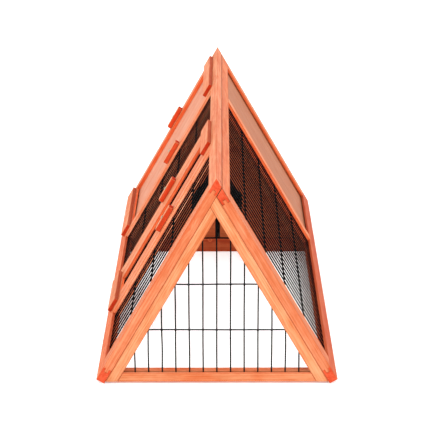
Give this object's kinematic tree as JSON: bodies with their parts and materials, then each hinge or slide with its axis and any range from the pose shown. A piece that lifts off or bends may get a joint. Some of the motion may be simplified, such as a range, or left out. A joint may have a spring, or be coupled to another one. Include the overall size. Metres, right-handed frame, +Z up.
{
  "type": "a-frame chicken coop",
  "caption": "Triangular timber hen coop with a wire-mesh run, a boarded house behind a partition, and lift-off doors held by turn-buttons.",
  "frame": {"origin": "on the ground, midway between the two ends and between the feet of the two slopes", "axes": "+X across towards the slope without doors, +Y along the ridge from the mesh end to the house, +Z up"},
  "size_m": [0.505, 1.18, 0.4502],
  "materials": {
    "frame_timber": "stained softwood, satin",
    "trim_timber": "stained softwood, satin",
    "pink_board": "stained board, satin",
    "tan_board": "stained board, satin",
    "wire": "black coated wire",
    "screw": "zinc plated"
  },
  "bodies": {
    "frame": {"left_top_rail": "frame_timber", "left_bottom_rail": "frame_timber", "left_end_stile": "frame_timber", "left_run_latch_stile": "frame_timber", "left_run_far_stile": "frame_timber", "left_house_latch_stile": "frame_timber", "left_far_stile": "frame_timber", "left_run_mesh": "wire", "left_mid_mesh": "wire", "right_top_rail": "frame_timber", "right_bottom_rail": "frame_timber", "right_end_stile": "frame_timber", "right_mid_stile": "frame_timber", "right_far_stile": "frame_timber", "right_run_mesh": "wire", "right_house_board": "tan_board", "mesh_end_left_rafter": "frame_timber", "mesh_end_right_rafter": "frame_timber", "mesh_end_sill": "frame_timber", "mesh_end_mesh": "wire", "partition_left_rafter": "frame_timber", "partition_right_rafter": "frame_timber", "partition_sill": "frame_timber", "partition_left_board": "tan_board", "partition_right_board": "tan_board", "house_end_left_rafter": "frame_timber", "house_end_right_rafter": "frame_timber", "house_end_sill": "frame_timber", "house_end_board": "pink_board", "run_near_screw": "screw", "run_far_screw": "screw", "house_near_screw": "screw", "house_far_screw": "screw"},
    "run_door": {"run_door_top_rail": "frame_timber", "run_door_bottom_rail": "frame_timber", "run_door_near_stile": "frame_timber", "run_door_far_stile": "frame_timber", "run_door_mesh": "wire", "run_door_upper_batten": "trim_timber", "run_door_lower_batten": "trim_timber"},
    "house_door": {"house_door_top_rail": "frame_timber", "house_door_bottom_rail": "frame_timber", "house_door_board": "pink_board", "house_door_upper_batten": "trim_timber", "house_door_lower_batten": "trim_timber"},
    "run_near_button": {"run_near_button": "trim_timber"},
    "run_far_button": {"run_far_button": "trim_timber"},
    "house_near_button": {"house_near_button": "trim_timber"},
    "house_far_button": {"house_far_button": "trim_timber"}
  },
  "joints": [
    {"name": "run_door_lift", "type": "slide", "parent": "frame", "child": "run_door", "axis": [-0.8677, 0, 0.497], "range_m": [0, 0.12]},
    {"name": "house_door_lift", "type": "slide", "parent": "frame", "child": "house_door", "axis": [-0.8677, 0, 0.497], "range_m": [0, 0.12]},
    {"name": "run_near_turn", "type": "hinge", "parent": "frame", "child": "run_near_button", "pos_m": [-0.11233, -0.2745, 0.25414], "axis": [-0.8677, 0, 0.497], "range_deg": [-90, 90]},
    {"name": "run_far_turn", "type": "hinge", "parent": "frame", "child": "run_far_button", "pos_m": [-0.11233, -0.0675, 0.25414], "axis": [-0.8677, 0, 0.497], "range_deg": [-90, 90]},
    {"name": "house_near_turn", "type": "hinge", "parent": "frame", "child": "house_near_button", "pos_m": [-0.11233, 0.24, 0.25414], "axis": [-0.8677, 0, 0.497], "range_deg": [-90, 90]},
    {"name": "house_far_turn", "type": "hinge", "parent": "frame", "child": "house_far_button", "pos_m": [-0.11233, 0.57, 0.25414], "axis": [-0.8677, 0, 0.497], "range_deg": [-90, 90]}
  ]
}
